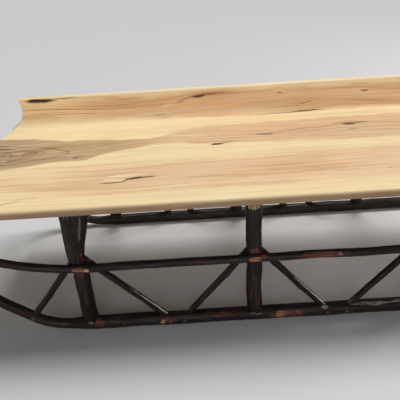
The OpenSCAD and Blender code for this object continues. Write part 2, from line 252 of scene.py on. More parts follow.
def makeBark(look):
    material, tree, shader = newMaterial("barkedHickory")
    place = attribute(tree, "poleCo", "Vector")
    ridges = noise(stretched(place, (14, 150, 150)), 1, 6, 0.62, 0.6)
    scales = noise(stretched(place, (60, 330, 330)), 1, 4, 0.6)
    blotches = noise(stretched(place, (9, 26, 26)), 1, 4, 0.6)
    specks = noise(stretched(place, (260, 420, 420)), 1, 2, 0.5)
    colour = blendColour(spread(ridges, 0.36, 0.5), look["valley"], look["bark"])
    colour = blendColour(spread(ridges, 0.52, 0.74), colour, look["ridge"])
    russet = times(spread(blotches, 0.52, 0.68), 0.55)
    colour = blendColour(russet, colour, look["russet"])
    dust = times(spread(specks, 0.66, 0.78), spread(blotches, 0.55, 0.4))
    colour = blendColour(times(dust, 0.7), colour, look["silver"])
    # Worn and cut spots, and the pale streaks that are painted glints, with a broken edge
    ragged = plus(attribute(tree, "tint", "Alpha"), times(ridges, 1.1))
    ragged = plus(ragged, times(scales, 0.9))
    mottle = plus(times(ridges, 0.5), times(scales, 0.5))
    shade = blendColour(spread(mottle, 0.4, 0.6), look["wornAndGlintDark"], look["wornAndGlintLight"])
    wornAndGlints = blendColour(1.0, attribute(tree, "tint", "Color"), shade, "MULTIPLY")
    colour = blendColour(spread(ragged, 1.3, 1.85), colour, wornAndGlints)
    # Sawn ends with growth rings
    radial = distanceOut(attribute(tree, "ringCo", "Vector"))
    rings = maths("SINE", times(radial, 3200.0))
    ringed = blendColour(spread(rings, -0.6, 1), look["sawn"], look["sawnRing"])
    colour = blendColour(attribute(tree, "cutFace", "Fac"), colour, ringed)
    rough = spread(blotches, 0.36, 0.64, look["smooth"], look["rough"])
    coarse = bump(ridges, 0.9, look["ridgeDepth"])
    fine = bump(scales, 0.8, look["scaleDepth"], coarse)
    finishSurface(shader, colour, rough, fine, coat=look["lacquer"], coatRoughness=look["lacquerRoughness"],
                  shine=look["shine"])
    return material


bark = makeBark(barkLook)


# What every pole has unless its own dictionary says otherwise
pole = {
    "step": 4,  # between its rings
    "sides": 32,
    "rounding": 1.5,  # of its ends
    "outward": (0, -1, 0),
    "axis": (1, 0, 0),  # the way that its stubs and worn spots are placed along
    "levels": (0, 1000),  # it is cut off below and above these
    "lumps": 0.55,
    "furrow": 0.4,
    "sway": 0.9,
    "calmEnds": 0,  # how far from its ends it settles down
    "stubs": [],  # place, angle, size, height
    "randomStubs": 3,
    "stubMargin": 40,
    "stubSize": (5, 9),
    "stubHeight": (1.2, 2.6),
    # Worn spots, and pale streaks that are painted glints
    "wornAndGlints": [],  # place, angle, half sizes, colour, strength
}


def measured(path):
    steps = np.linalg.norm(np.diff(path, axis=0), axis=1)
    return np.concatenate([[0], np.cumsum(steps)])


def along(path, distance):
    at = measured(path)
    return np.stack([np.interp(distance, at, path[:, axis]) for axis in range(path.shape[1])], 1)


# Where the rings of a pole stand, and the share of its radius that each has
def stations(length, step, rounding, radius):
    rim = 1 - rounding / radius
    start = [(0, rim * share) for share in (0.03, 0.4, 0.8)]
    for degrees in (90, 60, 30, 0):
        turn = math.radians(degrees)
        start.append((rounding * (1 - math.sin(turn)), 1 - rounding / radius * (1 - math.cos(turn))))
    inner = np.arange(rounding + step, length - rounding - step / 2, step)
    rows = start + [(at, 1) for at in inner] + [(length - at, share) for at, share in reversed(start)]
    rows = np.array(rows, float)
    return rows[:, 0].copy(), rows[:, 1].copy()


def tubeQuads(rows, sides):
    row, side = np.meshgrid(np.arange(rows - 1), np.arange(sides), indexing="ij")
    here = row * sides
    ahead = (row + 1) * sides
    beside = (side + 1) % sides
    return np.stack([here + side, here + beside, ahead + beside, ahead + side], -1).reshape(-1, 4)


# Adds the twig stubs and the hollows of the worn spots and painted glint streaks to the rise, and gives
# their colour
def addSpots(look, rng, place, radius, angle, rise):
    tint = np.zeros((*place.shape, 4))

    def spot(at, turn, long, wide):
        off = (angle - math.radians(turn) + math.pi) % (2 * math.pi) - math.pi
        return np.hypot((place - at) / long, radius * off / wide)

    stubs = list(look["stubs"])
    for _ in range(look["randomStubs"]):
        at = rng.uniform(place.min() + look["stubMargin"], place.max() - look["stubMargin"])
        turn = rng.uniform(0, 360)
        stubs.append((at, turn, rng.uniform(*look["stubSize"]), rng.uniform(*look["stubHeight"])))
    for at, turn, size, height in stubs:
        away = spot(at, turn, size, size)
        rise += height * np.exp(-away ** 2) - 0.45 * height * np.exp(-(away * 2.4) ** 2)
        rise += 0.5 * np.exp(-spot(at, turn, size * 3, size * 1.8) ** 2)
    for at, turn, long, wide, colour, strength in look["wornAndGlints"]:
        mask = strength * (1 - smoothStep(spot(at, turn, long, wide), 0.55, 1.25))
        rise -= 0.5 * mask
        keep = tint[..., 3] * (1 - mask)
        whole = np.maximum(keep + mask, 1e-6)
        for channel in range(3):
            tint[..., channel] = (tint[..., channel] * keep + colour[channel] * mask) / whole
        tint[..., 3] = keep + mask
    return tint


# Spots are placed by angle, in degrees from a pole's upper side (a leg's tail
# side) over the side that faces out of the base (a cross pole's nose side)
def sweepPole(node, path, look, far=False, shape=None):
    look = {**pole, **look}
    seed = look["seed"]
    rng = np.random.default_rng(seed)
    path = np.asarray(path, float)
    total = measured(path)[-1]
    radiusAt = look["radius"]
    if not callable(radiusAt):
        radiusAt = lambda distance: np.full(len(distance), look["radius"])
    startRadius = float(radiusAt(np.zeros(1))[0])
    distance, shrink = stations(total, look["step"], look["rounding"], startRadius)
    centre = along(path, distance)
    tangent = along(path, np.minimum(distance + 3, total)) - along(path, np.maximum(distance - 3, 0))
    tangent /= np.linalg.norm(tangent, axis=1)[:, None]
    outward = np.array(look["outward"], float)
    upward = np.cross(tangent, outward)
    sides = look["sides"]
    turns = np.arange(sides) * 2 * math.pi / sides
    run, angle = np.meshgrid(distance, turns, indexing="ij")
    radius = np.repeat(radiusAt(distance)[:, None], sides, 1)
    if shape is not None:
        radius, centre = shape(centre, angle, radius)
    calm = np.ones(len(distance))
    if look["calmEnds"]:
        calm = smoothStep(distance, 0, look["calmEnds"]) * smoothStep(total - distance, 0, look["calmEnds"])
    sway = look["sway"] * calm
    centre = centre + (sway * ripples(distance, 0, seed + 1, 4, (150, 420), (0, 0)))[:, None] * upward
    centre = centre + (sway * ripples(distance, 0, seed + 2, 4, (170, 460), (0, 0)))[:, None] * outward
    rise = look["lumps"] * ripples(run, angle, seed + 3, 14, (70, 260), (0, 3))
    rise += 0.45 * look["lumps"] * ripples(run, angle, seed + 4, 26, (22, 80), (2, 8))
    furrows = ripples(run, angle, seed + 5, 30, (30, 140), (5, 12))
    rise += look["furrow"] * (0.6 - np.abs(furrows)) * 1.1
    place = np.repeat((centre @ np.array(look["axis"], float))[:, None], sides, 1)
    tint = addSpots(look, rng, place, radius, angle, rise)
    rise *= calm[:, None]
    reach = (radius + rise) * shrink[:, None]
    ring = np.cos(angle)[..., None] * upward[:, None, :] + np.sin(angle)[..., None] * outward
    points = centre[:, None, :] + reach[..., None] * ring
    points[..., 2] = np.clip(points[..., 2], *look["levels"])
    if far:
        points[..., 1] = track - points[..., 1]
    rows = len(distance)
    faces = tubeQuads(rows, sides).tolist()
    faces += [list(range(sides))[::-1], list(range((rows - 1) * sides, rows * sides))]
    corner = points[0]
    endwise = tangent[0] * (1, -1 if far else 1, 1)
    if np.cross(corner[1] - corner[0], corner[2] - corner[0]) @ endwise < 0:
        faces = [face[::-1] for face in faces]
    offset = rng.uniform(0, 40, 3)
    poleCo = np.stack([run, radius * np.cos(angle), radius * np.sin(angle)], -1) / 1000 + offset
    ringCo = np.stack([0 * run, reach * np.cos(angle), reach * np.sin(angle)], -1) / 1000
    cut = np.repeat((shrink < 1 - look["rounding"] / radius.mean() + 0.001)[:, None], sides, 1)
    values = {
        "poleCo": ("FLOAT_VECTOR", poleCo),
        "ringCo": ("FLOAT_VECTOR", ringCo),
        "cutFace": ("FLOAT", cut.astype(float)),
        "tint": ("FLOAT_COLOR", tint),
    }
    return makePiece(node + "_pole", points.reshape(-1, 3), faces, values, bark, "bark_poles", node)


def arc(centre, radius, first, last, count=40):
    turn = np.radians(np.linspace(first, last, count))
    return np.stack([centre[0] - radius * np.sin(turn), centre[1] - radius * np.cos(turn)], 1)


def inPlane(flat, y):
    flat = np.asarray(flat, float)
    return np.stack([flat[:, 0], np.full(len(flat), float(y)), flat[:, 1]], 1)


def dense(points, gap=8):
    points = np.asarray(points, float)
    runs = [points[:1]]
    for start, end in zip(points[:-1], points[1:]):
        count = max(1, round(np.linalg.norm(end - start) / gap))
        runs.append(start + (end - start) * np.arange(1, count + 1)[:, None] / count)
    return np.concatenate(runs)


# The way a path goes as it climbs towards the nose
def heading(degrees):
    return np.array([-math.cos(math.radians(degrees)), math.sin(math.radians(degrees))])


redBrown = (0.12, 0.034, 0.02)
rosy = (0.23, 0.095, 0.07)
orange = (0.36, 0.14, 0.062)
straw = (0.42, 0.29, 0.13)
paleGrey = (0.3, 0.265, 0.245)
dullTan = (0.13, 0.095, 0.075)
# Pale grey of the long streaks that are painted glints on the braces' upper sides
paintedGlint = (0.6, 0.58, 0.55)

runner = {
    "radius": 21.5,
    "noseRadius": 16,
    "taper": (-60, 30),  # where it thins, from the start of the bend
    "height": 20,
    "bendX": -50,
    "bendRadius": 230,
    "bendAngle": 35,
    "bendGap": 65,
    "curlRadius": 300,
    "curlAngle": 60,
    "tip": (-446.7, 409.1),
    "tipPast": 19,
    "farLift": 1.5,  # the far one sits a touch higher and is a touch thicker
    "farThicker": 1,
    "sides": 48,
    "furrow": 0.5,
    "sway": 0.5,
    "randomStubs": 7,
    "rounding": 2,
}


def runnerPath(shape):
    tail = lowHigh("near_runner")[1][0]
    height = shape["height"]
    bend = shape["bendAngle"]
    flat = dense([(tail, height), (shape["bendX"], height)])[:-1]
    first = arc((shape["bendX"], height + shape["bendRadius"]), shape["bendRadius"], 0, bend)
    second = first[-1] + shape["bendGap"] * heading(bend)
    turn = math.radians(bend)
    centre = second + shape["curlRadius"] * np.array([math.sin(turn), math.cos(turn)])
    curl = arc(centre, shape["curlRadius"], bend, shape["curlAngle"])
    end = np.array(shape["tip"]) + shape["tipPast"] * heading(shape["curlAngle"])
    return inPlane(np.concatenate([flat, first, curl, [end]]), 0)


runnerLine = runnerPath(runner)
bendStart = runnerLine[0, 0] - runner["bendX"]


def runnerRadius(distance):
    low, high = runner["taper"]
    share = smoothStep(distance, bendStart + low, bendStart + high)
    return runner["radius"] + (runner["noseRadius"] - runner["radius"]) * share


nearRunnerWornAndGlints = [
    (600, 84, 18, 13, orange, 1.0),
    (618, 66, 16, 6, orange, 0.7),
    (575, 95, 14, 12, redBrown, 0.9),
    (640, 80, 34, 15, redBrown, 0.9),
    (26, 60, 26, 16, redBrown, 0.75),
    (12, 40, 16, 12, rosy, 0.7),
    (107, 75, 6, 6, paleGrey, 0.55),
    (250, 72, 26, 11, redBrown, 0.9),
    (229, 86, 9, 8, straw, 0.9),
    (530, 52, 12, 8, paleGrey, 0.6),
    (742, 40, 14, 9, paleGrey, 0.6),
    # These three long pale streaks on the upper side, towards the tail, are painted glints
    (850, 28, 40, 6, paleGrey, 0.7),
    (905, 34, 50, 8, paleGrey, 0.75),
    (985, 25, 45, 8, paleGrey, 0.7),
    (400, 50, 70, 8, redBrown, 0.5),
]
runnerStubs = [(107, 75, 6, 2.2), (592, 85, 11, 1.6), (229, 88, 9, 0.6)]
farRunnerWorn = [(300, 80, 40, 12, redBrown, 0.7)]
sweepPole("near_runner", runnerLine,
          {**runner, "radius": runnerRadius, "seed": 11, "wornAndGlints": nearRunnerWornAndGlints, "stubs": runnerStubs})
sweepPole("far_runner", runnerLine + np.array([0, 0, runner["farLift"]]),
          {**runner, "radius": lambda distance: runnerRadius(distance) + runner["farThicker"],
           "seed": 23, "wornAndGlints": farRunnerWorn}, far=True)

rail = {
    "radius": 12.5,
    "height": 248,
    "outside": -25.5,
    "bendRadius": 700,
    "tipAngle": 39.65,
    "tipPast": 19,
    "sides": 32,
    "furrow": 0.3,
    "lumps": 0.4,
    "sway": 0.8,
    "randomStubs": 6,
}


def railPath(shape):
    tail = lowHigh("near_rail")[1][0]
    height = shape["height"]
    flat = dense([(tail, height), (0, height)])[:-1]
    rise = arc((0, height + shape["bendRadius"]), shape["bendRadius"], 0, shape["tipAngle"])
    end = rise[-1] + shape["tipPast"] * heading(shape["tipAngle"])
    return inPlane(np.concatenate([flat, rise, [end]]), shape["outside"])


nearRailWorn = [
    (4, 80, 22, 10, rosy, 1.0),
    (27, 88, 7, 7, straw, 0.7),
    (520, 82, 22, 9, orange, 1.0),
    (545, 40, 12, 8, redBrown, 0.7),
    (700, 80, 70, 12, redBrown, 0.85),
    (768, 70, 8, 7, rosy, 0.9),
    (1040, 82, 20, 9, orange, 0.8),
    (360, 70, 60, 9, redBrown, 0.45),
]
railStubs = [(768, 70, 6, 1.4), (28, 92, 6, 1.2)]
farRailWorn = [(520, 82, 20, 9, orange, 0.8), (0, 82, 20, 9, rosy, 0.8), (1040, 82, 20, 9, orange, 0.8)]
railLine = railPath(rail)
sweepPole("near_rail", railLine, {**rail, "seed": 31, "wornAndGlints": nearRailWorn, "stubs": railStubs})
sweepPole("far_rail", railLine, {**rail, "seed": 43, "wornAndGlints": farRailWorn}, far=True)
print("runners and rails made")

leg = {
    "radius": 23.5,
    "foot": 27,
    "top": 430,
    "sides": 48,
    "axis": (0, 0, 1),
    "furrow": 0.55,
    "lumps": 0.7,
    "sway": 0.6,
    "rounding": 7,
    "randomStubs": 3,
    "levels": (0, 430),
    "seed": 51,
}
crook = {
    "lean": -9,
    "leanLow": 225,
    "leanHigh": 262,
    "fork": 255,
    "high": (29, 430),
    "lowRadius": 20,
    "highRadius": 29,
    "blend": 1.6,
    "sides": 64,
}


# Two stems grown together: the leg, which steps to the nose side behind the
# rail, and the crook beside it
def crookShape(centre, angle, radius):
    height = centre[:, 2]
    highX, highZ = crook["high"]
    share = np.clip((height - crook["fork"]) / (highZ - crook["fork"]), 0, 1)
    lean = crook["lean"] * smoothStep(height, crook["leanLow"], crook["leanHigh"])
    offset = lean + (highX - crook["lean"]) * share
    second = crook["lowRadius"] + (crook["highRadius"] - crook["lowRadius"]) * share
    shift = (lean + offset) / 2

    def reach(beside, size):
        off = (beside * np.cos(angle).T).T
        inside = np.maximum(size[:, None] ** 2 - (beside[:, None] ** 2 - off ** 2), 1)
        return off + np.sqrt(inside)

    stem = reach(lean - shift, radius[:, 0]) / crook["blend"]
    branch = reach(offset - shift, second) / crook["blend"]
    moved = centre.copy()
    moved[:, 0] += shift
    return crook["blend"] * np.logaddexp(stem, branch), moved


legRows = ("front", "middle", "rear")
legWorn = {
    "near_front": [
        (385, 50, 50, 4, dullTan, 0.9),
        (290, 40, 30, 4, redBrown, 0.8),
        (250, 30, 26, 9, redBrown, 0.9),
        (235, 95, 30, 22, redBrown, 0.6),
        (420, 120, 12, 20, paleGrey, 0.35),
        (36, 80, 6, 14, paleGrey, 0.7),
        (36, 10, 6, 12, rosy, 0.7),
    ],
    "near_middle": [
        (418, 95, 13, 26, straw, 0.55),
        (395, 20, 22, 8, straw, 0.5),
        (265, 90, 16, 26, redBrown, 0.8),
        (33, 90, 6, 20, paleGrey, 0.6),
        (120, 90, 90, 30, redBrown, 0.35),
    ],
    "near_rear": [(330, 60, 50, 10, redBrown, 0.6), (34, 90, 6, 18, paleGrey, 0.6)],
    "far_front": [(300, 90, 60, 12, redBrown, 0.6)],
    "far_middle": [(150, 60, 50, 14, redBrown, 0.6)],
    "far_rear": [(360, 70, 50, 12, redBrown, 0.6)],
}
for row, place in enumerate(legRows):
    for far in (False, True):
        name = ("far_" if far else "near_") + place
        look = {**leg, "seed": leg["seed"] + 7 * row + 3 * far, "wornAndGlints": legWorn[name]}
        shape = None
        if name == "near_front":
            look["sides"] = crook["sides"]
            shape = crookShape
        line = dense([(row * pitch, 0, leg["foot"]), (row * pitch, 0, leg["top"])])
        sweepPole(name + "_leg", line, look, far, shape)

brace = {
    "radius": 10,
    "sides": 28,
    "furrow": 0.25,
    "lumps": 0.35,
    "sway": 0.6,
    "rounding": 3,
    "headHeight": 260,
    "headPast": 8,
    "headIn": 12,
    "footPast": 4,
    "randomStubs": 2,
    "step": 3.5,
    "seed": 101,
}
braceFeet = ((-178, 55.5, 0), (254, 20, 0), (298, 20, 1), (750, 20, 1), (810, 20, 2))  # place, height, leg
# A worn spot at the foot, then two long pale streaks on the upper side that are painted glints
tailBraceWornAndGlints = [  # placed from the foot
    (-8, 20, 12, 6, paleGrey, 0.7),
    (-38, 30, 40, 3.8, paintedGlint, 0.9),
    (-92, 36, 40, 2.8, paintedGlint, 0.72),
]
noseBraceWorn = [(20, 150, 22, 4, paleGrey, 0.5)]
for index, (footX, footZ, row) in enumerate(braceFeet):
    legX = row * pitch
    way = 1 if footX > legX else -1
    headX = legX + way * (leg["radius"] - brace["headIn"])
    head = np.array([headX, 0, brace["headHeight"] + brace["headPast"]])
    foot = np.array([footX, 0, footZ])
    flow = (foot - head) / np.linalg.norm(foot - head)
    line = dense([foot + brace["footPast"] * flow, head])
    # Worn spots and painted glint streaks, placed from the foot
    wornAndGlints = [(footX + at, *rest) for at, *rest in (tailBraceWornAndGlints if way > 0 else noseBraceWorn)]
    for far in (False, True):
        name = ("far" if far else "near") + f"_brace_{index + 1}"
        look = {**brace, "seed": brace["seed"] + 9 * index + 4 * far, "wornAndGlints": wornAndGlints}
        sweepPole(name, line, look, far)

crossPole = {
    "sides": 40,
    "outward": (-1, 0, 0),
    "axis": (0, 1, 0),
    "lumps": 0.5,
    "furrow": 0.4,
    "sway": 0.7,
    "levels": (0, 430),
    "calmEnds": 25,
}
bolster = {**crossPole, "radius": 21, "height": 411, "intoLeg": 8, "seed": 201}
for row, place in enumerate(legRows):
    end = leg["radius"] - bolster["intoLeg"]
    line = dense([(row * pitch, end, bolster["height"]), (row * pitch, track - end, bolster["height"])])
    sweepPole(place + "_bolster", line, {**bolster, "seed": bolster["seed"] + row})
noseBar = {**crossPole, "radius": 14, "sides": 32, "randomStubs": 4, "seed": 211}
noseBar.update({"placeX": -419.2, "height": 361.4, "end": 10})
barStart = (noseBar["placeX"], noseBar["end"], noseBar["height"])
barEnd = (noseBar["placeX"], track - noseBar["end"], noseBar["height"])
sweepPole("nose_bar", dense([barStart, barEnd]), noseBar)
print("legs, braces and cross poles made")

# The top: the surface is unrolled from the near edge (-40) over the seat and up
# the lip, so that one pattern of sapwood, heartwood, grain and knots runs over all
sapwood = (0.86, 0.7, 0.42)
edgeWood = (0.315, 0.2, 0.118)
edgeFade = (-49, -35)
bands = [
    {
        "upper": ((-375, 540), (-300, 525), (-200, 512), (-100, 482), (0, 472), (100, 462), (200, 452),
                  (240, 462), (300, 512), (350, 540), (400, 548), (600, 556), (800, 568), (1149, 572)),
        "lower": ((-375, 235), (-270, 245), (-200, 262), (-130, 285), (-60, 292), (0, 298), (40, 325),
                  (120, 365), (210, 392), (300, 395), (400, 373), (600, 358), (800, 348), (1149, 338)),
        "nose": (0.505, 0.36, 0.205),
        "tail": (0.73, 0.5, 0.3),
        "turn": (50, 320),
        "soft": 10,
    },
    {
        "upper": ((-375, 210), (-250, 225), (0, 240), (200, 238), (400, 242), (550, 250), (850, 268),
                  (1149, 280)),
        "lower": ((-375, 90), (-100, 60), (100, 30), (300, 32), (500, 38), (670, 40), (1149, 35)),
        "nose": (0.85, 0.63, 0.38),
        "tail": (0.8, 0.565, 0.355),
        "turn": (-150, 150),
        "soft": 45,
    },
    {
        "upper": ((-375, 754), (-200, 752), (0, 745), (200, 736), (400, 750), (600, 742), (1149, 735),
                  (1300, 735)),
        "lower": ((-375, 682), (-300, 680), (-60, 668), (200, 655), (400, 641), (1149, 640), (1300, 642)),
        "nose": (0.95, 0.69, 0.415),
        "tail": (0.785, 0.525, 0.305),
        "turn": (-200, 100),
        "soft": 9,
    },
    {
        "upper": ((-375, 902), (-50, 893), (200, 878), (480, 899), (800, 912), (1300, 900)),
        "lower": ((-375, 856), (0, 848), (250, 826), (500, 846), (900, 862), (1300, 848)),
        "nose": (0.74, 0.51, 0.29),
        "tail": (0.68, 0.455, 0.26),
        "turn": (0, 700),
        "soft": 12,
    },
]
tones = [  # place, half sizes, colour, strength
    ((-330, 690), (140, 14), (0.72, 0.54, 0.27), 0.5),
    ((600, 630), (80, 22), (0.84, 0.62, 0.27), 0.5),
    ((900, 600), (330, 30), (0.74, 0.52, 0.29), 0.35),
    ((150, 150), (170, 60), (0.6, 0.42, 0.23), 0.35),
    ((-249, 387), (26, 9), (0.76, 0.6, 0.4), 0.85),
    ((-287, 325), (15, 9), (0.7, 0.54, 0.35), 0.7),
    ((-125, 384), (26, 12), (0.66, 0.49, 0.28), 0.6),
    ((-290, 735), (120, 40), (0.86, 0.68, 0.36), 0.6),
    ((800, 757), (700, 15), (0.98, 0.8, 0.52), 0.75),
    ((-60, 345), (260, 10), (0.62, 0.45, 0.27), 0.5),
    ((350, 500), (90, 42), (0.68, 0.48, 0.3), 0.5),
    ((780, 440), (110, 34), (0.56, 0.34, 0.22), 0.6),
    ((620, 430), (70, 16), (0.5, 0.33, 0.19), 0.5),
    ((1000, 430), (170, 80), (0.6, 0.43, 0.28), 0.5),
    ((0, 100), (90, 60), (0.7, 0.47, 0.27), 0.5),
    ((440, 738), (90, 14), (0.62, 0.31, 0.12), 0.75),
    ((30, 720), (150, 16), (0.6, 0.37, 0.19), 0.45),
    ((620, 140), (200, 60), (0.66, 0.415, 0.235), 0.5),
]
grainKnots = [  # place, size, how many times longer than wide
    (125, 118, 12, 4.5), (440, 366, 8, 3), (930, 485, 14, 3.5), (-38, 315, 7, 2.5), (620, 430, 9, 4),
    (-170, 10, 10, 3), (-225, 746, 9, 7), (385, 726, 9, 4), (700, 723, 7, 3), (800, 676, 6, 3),
    (1030, 711, 7, 3), (-245, 382, 11, 2.5), (350, 485, 13, 3), (310, 862, 12, 3.5), (905, 884, 9, 3),
]
swells = [((-250, 370), (170, 60), 40), ((350, 478), (80, 30), 22)]  # place, half sizes, height
darkBrown = (0.085, 0.042, 0.018)
umber = (0.2, 0.115, 0.055)
cream = (0.9, 0.72, 0.44)
marks = [  # place, half sizes, lean, colour, strength, depth of the hollow
    ((150, 152), (62, 9), 4, cream, 0.7, 0),
    ((112, 124), (34, 8), -8, cream, 0.6, 0),
    ((230, 122), (50, 7), 3, cream, 0.3, 0),
    ((112, 106), (42, 4.5), 2, umber, 1.0, 0.8),
    ((200, 131), (52, 6), 4, umber, 0.9, 0.6),
    ((178, 129), (28, 8.5), 12, darkBrown, 1.0, 1.6),
    ((148, 118), (16, 5), 38, darkBrown, 0.95, 1.2),
    ((140, 172), (60, 2), 7, umber, 0.45, 0),
    ((443, 358), (30, 6), 0, cream, 0.55, 0),
    ((440, 366), (25, 9), 2, darkBrown, 1.0, 1.6),
    ((462, 373), (34, 3.5), 8, umber, 0.9, 0.4),
    ((300, 372), (110, 2), 5, umber, 0.35, 0),
    ((930, 500), (70, 14), 2, umber, 0.35, 0),
    ((925, 486), (27, 12), -4, darkBrown, 0.95, 1.5),
    ((968, 492), (38, 8), 8, umber, 0.7, 0.5),
    ((870, 480), (80, 4), 14, umber, 0.6, 0),
    ((760, 462), (120, 4), 6, umber, 0.5, 0),
    ((925, 430), (28, 7), 6, umber, 0.5, 0),
    ((1080, 500), (110, 2.5), 3, umber, 0.5, 0),
    ((1230, 440), (90, 3), 2, umber, 0.4, 0),
    ((1215, 150), (26, 6), 3, darkBrown, 0.8, 1.0),
    ((-38, 316), (12, 7), 0, darkBrown, 0.85, 0.9),
    ((-30, 318), (26, 9), 6, umber, 0.4, 0),
    ((612, 432), (34, 8), -4, umber, 0.8, 0.4),
    ((690, 452), (90, 3), 12, umber, 0.45, 0),
    ((-170, 12), (34, 3), 14, umber, 0.6, 0.3),
    ((-200, 2), (22, 2.5), -10, umber, 0.55, 0.2),
    ((-128, 34), (40, 2.5), 9, umber, 0.4, 0),
    ((440, 36), (230, 1.5), 1.5, umber, 0.42, 0),
    ((765, 102), (115, 1.6), -5, umber, 0.45, 0),
    ((946, 97), (24, 2.4), 3, umber, 0.6, 0.2),
    ((-345, 300), (26, 9), 30, darkBrown, 0.45, 0.3),
    ((-225, 747), (66, 9.5), 0, (0.3, 0.16, 0.07), 0.9, 0),
    ((-228, 747), (58, 6.5), 0, (0.045, 0.022, 0.013), 1.0, 2.6),
    ((-130, 752), (46, 2.5), 3, umber, 0.7, 0.4),
    ((-120, 706), (190, 1.8), -3, umber, 0.6, 0),
    ((-140, 689), (180, 1.4), -1.5, umber, 0.5, 0),
    ((385, 727), (28, 6), 4, darkBrown, 1.0, 1.4),
    ((415, 733), (75, 3.6), 4, umber, 0.8, 0.3),
    ((335, 721), (46, 2.4), 16, umber, 0.6, 0.2),
    ((275, 699), (48, 4.5), 6, cream, 0.65, 0),
    ((310, 707), (30, 3), 12, umber, 0.5, 0),
    ((700, 727), (22, 5), 0, cream, 0.5, 0),
    ((702, 722), (12, 3), 4, darkBrown, 0.85, 0.9),
    ((800, 676), (36, 2.6), 8, umber, 0.6, 0.3),
    ((1030, 711), (13, 5), 0, umber, 0.8, 0.8),
    ((740, 641), (150, 3), 1.5, umber, 0.8, 0.5),
    ((800, 643), (70, 4.5), 1.5, darkBrown, 0.75, 0.6),
    ((620, 636), (70, 4), 1, (0.62, 0.42, 0.17), 0.5, 0),
    ((230, 662), (22, 1.8), 0, umber, 0.7, 0.2),
    ((310, 862), (24, 8), -4, darkBrown, 0.9, 1.2),
    ((350, 866), (60, 3), -6, umber, 0.6, 0),
    ((905, 884), (18, 6), 5, umber, 0.85, 0.7),
    ((640, 872), (140, 2.2), 2, umber, 0.5, 0),
]

swirl = {
    "axis": 370,
    "open": 33,
    "tips": ((-75, 0.9), (-98, 0.35), (-160, 0.45), (-186, 0.85), (-206, 0.5), (-226, 0.85),
             (-250, 0.6), (-270, 0.9), (-296, 0.7), (-318, 0.85), (-345, 0.6)),  # place, strength
    "line": 3.4,
    "shade": (0.2, 0.115, 0.055),
    "inside": (0.4, 0.27, 0.15),
    "insideFade": (-190, -130),
    "insideStrength": 0.55,
}
curl = {
    "axis": 474,
    "lean": 0.16,
    "open": 14,
    "tips": (212, 236, 256, 282, 300, 330, 352),
    "line": 3.4,
    "fade": (430, 330),
    "strength": 0.5,
    "shade": (0.86, 0.69, 0.46),
}


def between(points, x):
    points = np.array(points, float)
    return np.interp(x, points[:, 0], points[:, 1])


def patch(x, across, place, size):
    return np.exp(-((x - place[0]) / size[0]) ** 2 - ((across - place[1]) / size[1]) ** 2)


def paintOver(colour, mask, shade):
    mask = mask[..., None]
    return colour * (1 - mask) + np.array(shade) * mask


# Rings about an axis, as parabolas: which ring a place is on, and how steep it is there
def ringsOpening(x, off, width, way):
    return x + way * off ** 2 / width, np.sqrt(1 + (2 * off / width) ** 2)


def paintRings(colour, heart, x, across):
    # These open towards the tail
    off = curl["axis"] - across + curl["lean"] * (x - curl["tips"][0])
    off = off + 3 * np.sin(x / 17) + 2 * np.sin(x / 7 + across / 9)
    ring, steep = ringsOpening(x, off, curl["open"], -1)
    inside = heart * smoothStep(x, *curl["fade"])
    for tip in curl["tips"]:
        mask = inside * np.exp(-((ring - tip) / steep / curl["line"]) ** 2)
        colour = paintOver(colour, curl["strength"] * mask, curl["shade"])
    # And these towards the nose
    off = across - swirl["axis"] + 4 * np.sin(x / 23) + 2 * np.sin(x / 9 + across / 13)
    ring, steep = ringsOpening(x, off, swirl["open"], 1)
    inside = swirl["insideStrength"] * heart * (1 - smoothStep(ring, *swirl["insideFade"]))
    colour = paintOver(colour, inside, swirl["inside"])
    for tip, strength in swirl["tips"]:
        mask = strength * heart * np.exp(-((ring - tip) / steep / swirl["line"]) ** 2)
        colour = paintOver(colour, mask, swirl["shade"])
    return colour


# Grain lines follow the first band's lower edge, swell, and part round the knots
def grainLines(x, across):
    grain = across + 7 * np.sin(x / 210 + 1) + 3 * np.sin(x / 83)
    follow = between(bands[0]["lower"], x) - 330
    grain = grain - 0.55 * follow * np.exp(-((across - 400) / 150) ** 2)
    for place, size, height in swells:
        grain = grain + height * patch(x, across, place, size)
    for knotX, knotAcross, size, long in grainKnots:
        offX = (x - knotX) / long
        off = across - knotAcross
        grain = grain - size ** 2 * off / (offX ** 2 + off ** 2 + 0.3 * size ** 2)
    return grain


def hollows(x, across):
    hollow = np.zeros(x.shape)
    for place, (long, wide), lean, shade, strength, depth in marks:
        if not depth:
            continue
        turn = math.radians(lean)
        offX = x - place[0]
        off = across - place[1]
        lengthwise = (offX * math.cos(turn) + off * math.sin(turn)) / long
        sideways = (off * math.cos(turn) - offX * math.sin(turn)) / max(wide, 2.5)
        hollow = np.maximum(hollow, depth * np.exp(-1.2 * (lengthwise ** 2 + sideways ** 2)))
    return hollow


def woodFields(x, across):
    waver = 3 * np.sin(x / 37 + across / 60) + 2 * np.sin(x / 17 - across / 23)
    colour = np.empty((*x.shape, 3))
    colour[:] = sapwood
    heart = np.zeros(x.shape)
    for band in bands:
        soft = band["soft"]
        upper = between(band["upper"], x) + waver
        lower = between(band["lower"], x) + waver
        mask = smoothStep(across - lower, -soft, soft) * smoothStep(upper - across, -soft, soft)
        share = smoothStep(x, *band["turn"])[..., None]
        own = np.array(band["nose"]) * (1 - share) + np.array(band["tail"]) * share
        colour = paintOver(colour, mask, own)
        heart = np.maximum(heart, mask)
    colour = paintOver(colour, 1 - smoothStep(across + 0.4 * np.sin(x / 29), *edgeFade), edgeWood)
    colour = paintRings(colour, heart, x, across)
    for place, size, shade, strength in tones:
        colour = paintOver(colour, strength * patch(x, across, place, size), shade)
    return colour, heart, grainLines(x, across), hollows(x, across)


